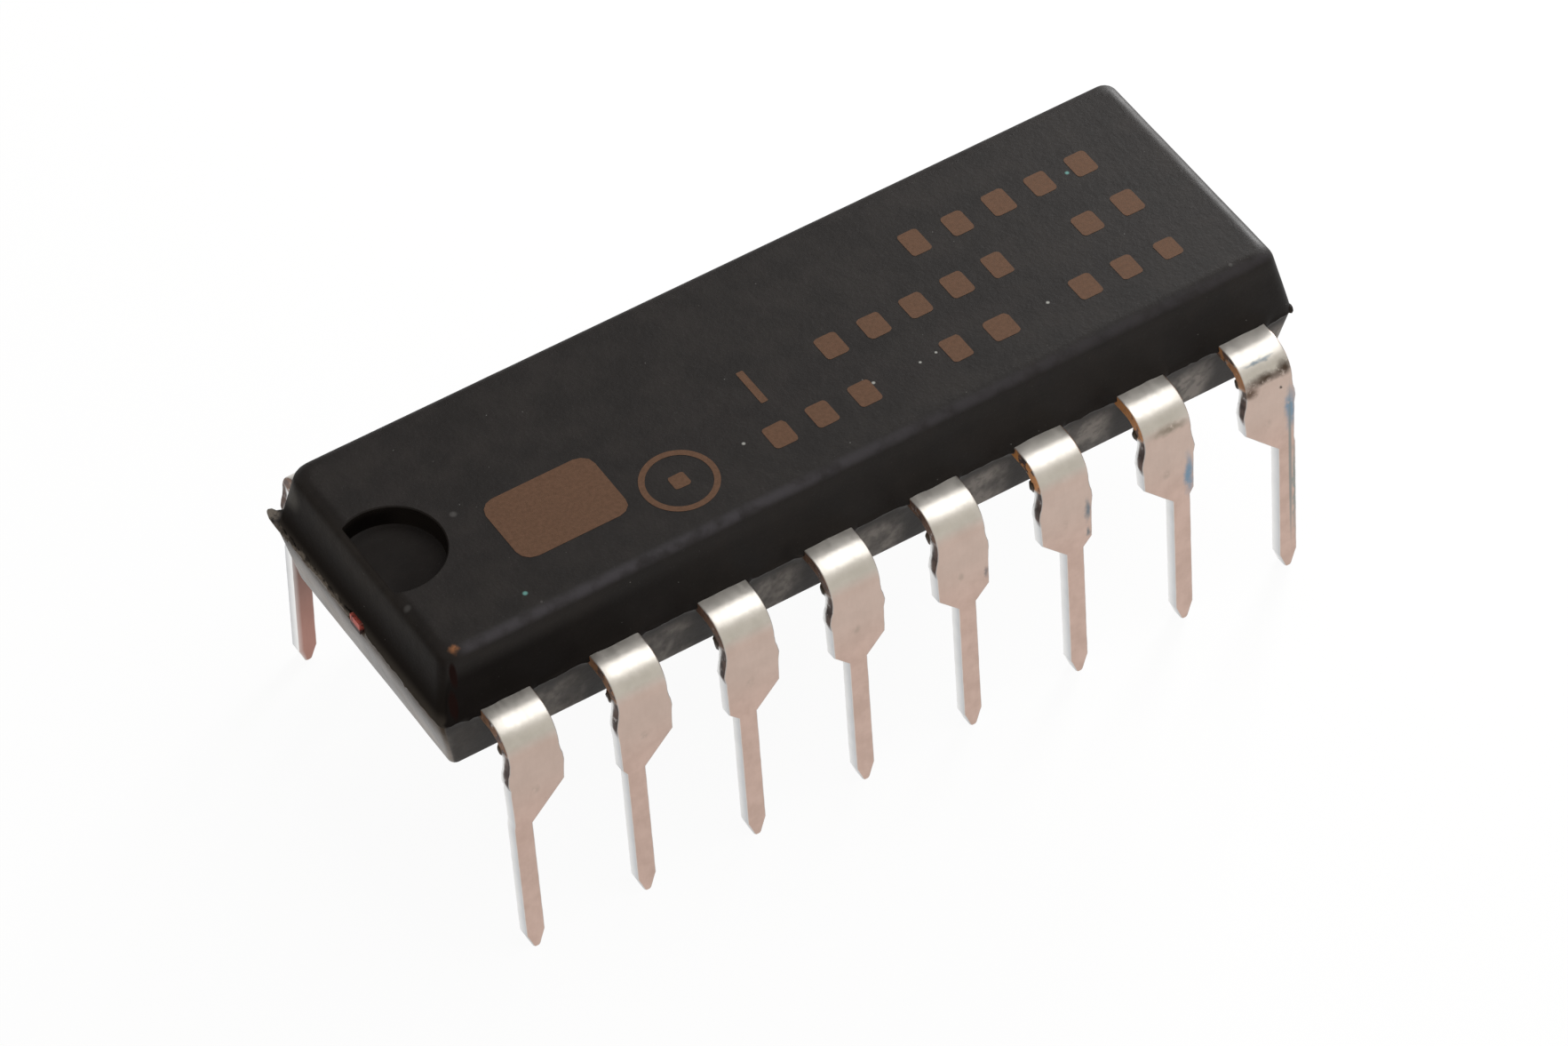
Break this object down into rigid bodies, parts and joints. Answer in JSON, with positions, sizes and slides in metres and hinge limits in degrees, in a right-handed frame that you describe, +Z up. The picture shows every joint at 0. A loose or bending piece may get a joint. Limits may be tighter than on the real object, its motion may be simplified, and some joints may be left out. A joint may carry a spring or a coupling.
{
  "type": "dual in-line integrated circuit chip",
  "caption": "Dual in-line integrated circuit chip in black moulded resin, with an orientation recess at one end and rows of bent metal leads with pointed pins.",
  "frame": {"origin": "midway between the two rows and between the two ends, at the level of the lead tips", "axes": "+X along the rows away from the notched end, +Y from the row of pin 1 to the other row, +Z up"},
  "size_m": [0.0198, 0.0092, 0.0073],
  "materials": {
    "resin": "matte",
    "lead_metal": "satin",
    "attach": "satin",
    "silicon": "polished",
    "gold_wire": "polished"
  },
  "bodies": {
    "root": {"moulded_body": "resin", "lead_01": "lead_metal", "lead_02": "lead_metal", "lead_03": "lead_metal", "lead_06": "lead_metal", "lead_07": "lead_metal", "lead_08": "lead_metal", "lead_09": "lead_metal", "lead_10": "lead_metal", "lead_11": "lead_metal", "lead_14": "lead_metal", "lead_15": "lead_metal", "lead_16": "lead_metal", "ground_frame": "lead_metal", "die_attach": "attach", "silicon_die": "silicon", "bond_wire_01": "gold_wire", "bond_wire_02": "gold_wire", "bond_wire_03": "gold_wire", "bond_wire_04": "gold_wire", "bond_wire_05": "gold_wire", "bond_wire_06": "gold_wire", "bond_wire_07": "gold_wire", "bond_wire_08": "gold_wire", "bond_wire_09": "gold_wire", "bond_wire_10": "gold_wire", "bond_wire_11": "gold_wire", "bond_wire_12": "gold_wire", "bond_wire_13": "gold_wire", "bond_wire_14": "gold_wire", "bond_wire_15": "gold_wire", "bond_wire_16": "gold_wire"}
  },
  "joints": []
}
